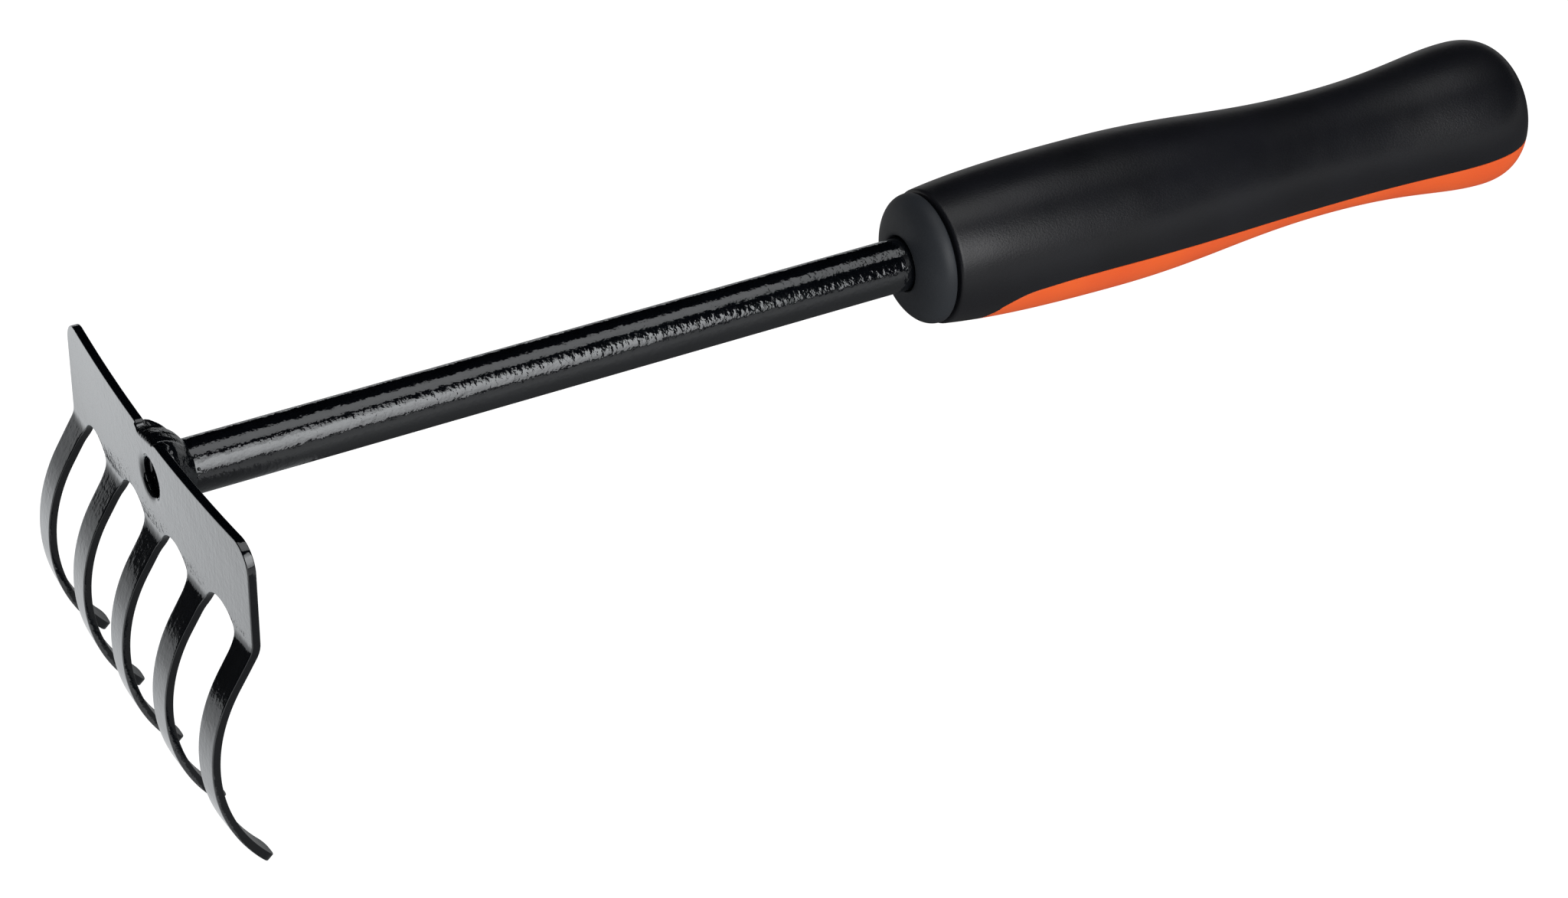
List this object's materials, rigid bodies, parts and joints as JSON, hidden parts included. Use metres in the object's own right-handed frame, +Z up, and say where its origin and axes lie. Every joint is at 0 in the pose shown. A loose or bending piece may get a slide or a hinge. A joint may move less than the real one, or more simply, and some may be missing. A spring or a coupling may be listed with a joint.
{
  "type": "hand rake",
  "caption": "Short-handled garden hand rake: pressed steel head with curled flat tines, straight tubular shaft and a contoured two-part grip.",
  "frame": {"origin": "on the bench below the middle of the rake's box, with the rake lying at rest on its tine tips and on the underside of its butt", "axes": "+X from the head towards the butt of the handle, +Z up, +Y across the tines; the shaft dips 8.3 degrees from +X towards the bench"},
  "size_m": [0.3776, 0.101, 0.0841],
  "materials": {
    "head_enamel": "gloss black stoved enamel on pressed steel",
    "weld_enamel": "gloss black enamel over a rippled weld bead",
    "shaft_enamel": "gloss black enamel with orange peel on drawn tube",
    "nose_plastic": "satin black moulded polypropylene",
    "core_plastic": "satin orange moulded polypropylene",
    "grip_rubber": "satin black thermoplastic elastomer"
  },
  "bodies": {
    "root": {"rake_head": "head_enamel", "weld_bead": "weld_enamel", "shaft_tube": "shaft_enamel", "nose_collar": "nose_plastic", "handle_core": "core_plastic", "grip_shell": "grip_rubber"}
  },
  "joints": []
}
